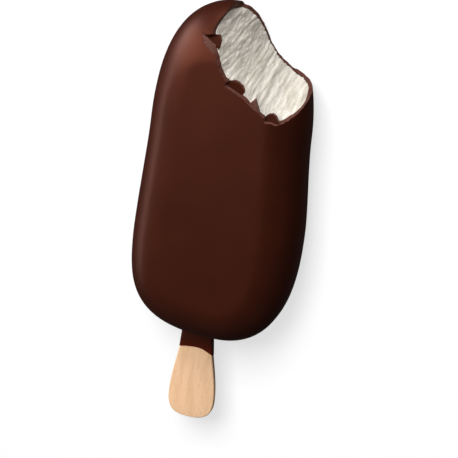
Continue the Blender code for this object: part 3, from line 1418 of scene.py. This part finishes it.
@dataclass(frozen=True)
class Softbox:
    """A soft panel that faces the bar.

    Attributes:
        name: The light's name.
        azimuth: Where it hangs round the bar, in degrees from +X.
        elevation: Where it hangs above the table, in degrees.
        width: The angle that it spans from side to side, in degrees.
        height: The angle that it spans upwards, in degrees.
        radiance: How bright its surface is.
        distance: How far its middle is from the bar's.
    """

    name: str
    azimuth: float
    elevation: float
    width: float
    height: float
    radiance: float
    distance: float = 0.8

    @property
    def towards(self) -> Vector:
        """The direction from the bar to the panel."""
        around, up = math.radians(self.azimuth), math.radians(self.elevation)
        return Vector((math.cos(up) * math.cos(around), math.cos(up) * math.sin(around), math.sin(up)))

    @property
    def sides(self) -> tuple[float, float]:
        """The panel's real width and height."""
        spans = (self.width, self.height)
        return tuple(2 * self.distance * math.tan(math.radians(span) / 2) for span in spans)

    def hang(self, lit: Sequence[Object]) -> None:
        """Hangs the panel so that it lights some of the objects.

        Args:
            lit: What it lights.
        """
        turned = self.towards.to_track_quat("Z", "Y").to_euler()
        place = self.towards * self.distance
        light = add_object(bpy.ops.object.light_add, self.name, type="AREA", location=place, rotation=turned)
        light.data.shape = "RECTANGLE"
        width, height = light.data.size, light.data.size_y = self.sides
        light.data.energy = self.radiance * math.pi * width * height
        receivers = bpy.data.collections.new(f"lit by the {self.name}")
        for obj in lit:
            receivers.objects.link(obj)
        light.light_linking.receiver_collection = receivers


@dataclass
class Studio:
    """A white table and soft lights: the bar's come from the left and from beyond its tip."""

    form: BarForm
    yaw: float = math.radians(14.0)
    pitch: float = math.radians(17.0)
    roll: float = math.radians(6.87)
    distance: float = 450 * MM
    frame_width: float = 133.1 * MM
    aim: tuple[float, float] = (2.95 * MM, -3.51 * MM)
    sensor: float = 36.0
    clip_start: float = 10 * MM
    table_size: float = 8.0
    room_colour: str = "FFFFFF"
    room: float = 0.16
    low_room: float = 0.03
    low_height: float = -0.1
    full_height: float = 0.4

    BAR_LIGHTS: ClassVar[tuple[Softbox, ...]] = (
        Softbox("tall strip", 152.0, 36.0, width=25.0, height=84.0, radiance=5.9, distance=0.4),
        Softbox("low left panel", azimuth=174.0, elevation=9.0, width=60.0, height=16.0, radiance=2.8),
        Softbox("low far panel", azimuth=82.0, elevation=20.0, width=60.0, height=36.0, radiance=4.0),
    )
    TABLE_LIGHT: ClassVar[Softbox] = Softbox(
        "table softbox", azimuth=100.0, elevation=58.0, width=26.0, height=30.0, radiance=14.6
    )

    def table(self) -> Object:
        """The table that the bar lies on. The bar is lit by the lamps alone, with no light back from it.

        Returns:
            The table.
        """
        table = add_object(bpy.ops.mesh.primitive_plane_add, "studio_table", size=self.table_size)
        table.data.materials.append(StudioTable().material())
        table.visible_diffuse = False
        table.visible_glossy = False
        return table

    def camera(self) -> None:
        """The camera, upright along the bar but for its roll."""
        back = Vector((math.tan(self.yaw), math.tan(self.pitch), 1.0)).normalized()
        along = Vector((0, 1, 0))
        along = (along - back * along.dot(back)).normalized()
        across = along.cross(back)
        up = math.cos(self.roll) * along - math.sin(self.roll) * across
        right = math.cos(self.roll) * across + math.sin(self.roll) * along
        turned = Matrix((right, up, back)).transposed().to_4x4()
        aim = Vector((*self.aim, self.form.middle_z))
        bpy.ops.object.camera_add()
        camera = bpy.context.active_object
        camera.matrix_world = Matrix.Translation(aim + back * self.distance) @ turned
        camera.data.sensor_width = self.sensor
        camera.data.lens = self.sensor * self.distance / self.frame_width
        camera.data.clip_start = self.clip_start
        bpy.context.scene.camera = camera

    def room_light(self) -> None:
        """The even light of a pale room, darker towards its floor."""
        world = bpy.data.worlds.new("pale room")
        bpy.context.scene.world = world
        world.use_nodes = True
        background = world.node_tree.nodes["Background"]
        background.inputs["Color"].default_value = colour(self.room_colour)
        tree = world.node_tree
        towards = add_node(tree, "TexCoord").outputs["Generated"]
        height = add_node(tree, "SeparateXYZ", links={"Vector": towards}).outputs["Z"]
        rise = {"From Min": self.low_height, "From Max": self.full_height}
        level = {"To Min": self.low_room, "To Max": self.room}
        glow = add_node(tree, "MapRange", links={"Value": height, **rise, **level})
        tree.links.new(glow.outputs["Result"], background.inputs["Strength"])

    def build(self, pieces: Sequence[Object]) -> None:
        """Sets up the table, the camera and the lights.

        Args:
            pieces: The pieces of the bar.
        """
        table = self.table()
        self.camera()
        for softbox in self.BAR_LIGHTS:
            softbox.hang(pieces)
        self.TABLE_LIGHT.hang([table])
        self.room_light()
        bpy.context.scene.view_settings.view_transform = "Standard"


def chips_of(form: BarForm) -> list[Chip]:
    """The three chips along the front of the bite, from the dome down."""
    return [
        Chip(
            "coating_chip_upper",
            "pressed_chip_upper",
            (-8.5, 10.0),
            (-3.3, 13.5),
            ((0.84, 0.26), (0.62, 0.42), (0.32, 0.23)),
            36.0,
            form,
            break_run=(0.3 * MM, 1.5 * MM),
        ),
        Chip(
            "coating_chip_middle",
            "pressed_chip_middle",
            (-0.4, 22.7),
            (4.8, 25.2),
            ((1.02, 0.20), (0.80, 0.34), (0.57, 0.38), (0.32, 0.35), (0.12, 0.24)),
            30.0,
            form,
        ),
        Chip(
            "coating_chip_lower",
            "pressed_chip_lower",
            (12.2, 31.3),
            (16.3, 31.2),
            ((0.95, 0.06), (0.68, 0.40), (0.44, 0.52), (0.18, 0.48), (-0.04, 0.28)),
            30.0,
            form,
        ),
    ]


def main() -> None:
    """Builds the bar piece by piece and sets it in the studio."""
    logging.basicConfig(level=logging.INFO, format="%(name)s: %(message)s")
    form = BarForm.from_frame()
    bite = Bite(form)
    coating = Coating(form, bite, thickness=1.4 * MM)
    filling = Filling(form, bite, coating.thickness)
    stick = Stick(form, end_y=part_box("stick")[0].y)
    chips = chips_of(form)

    dipped = DippedMilkChocolate(
        thin_from_y=form.foot_y - stick.sleeve_top, thin_to_y=form.foot_y - stick.sleeve_right
    ).material()
    # A darker, less glossy copy of the coating's chocolate for the chips: painted shade, because the chips
    # lie sunk in the bite.
    pressed = DippedMilkChocolate(
        "pressed milk chocolate, damp", deep="280E07", warm="2E1007", gloss_level=0.22
    ).material()
    snapped = SnappedMilkChocolate().material()
    hollow = filling.hollow()
    pieces = [filling.build(hollow, chips, BittenVanillaIceCream(bite.pull()).material())]
    spur = Spur(form, coating.thickness).build(snapped)
    pieces.append(coating.build(hollow, chips, stick.sleeve(dipped), spur, dipped, snapped))
    discard(hollow)
    pieces += [chip.build(pressed, snapped) for chip in chips]
    pieces.append(stick.build(StampedBirch().material()))
    Studio(form).build(pieces)


if __name__ == "__main__":
    main()
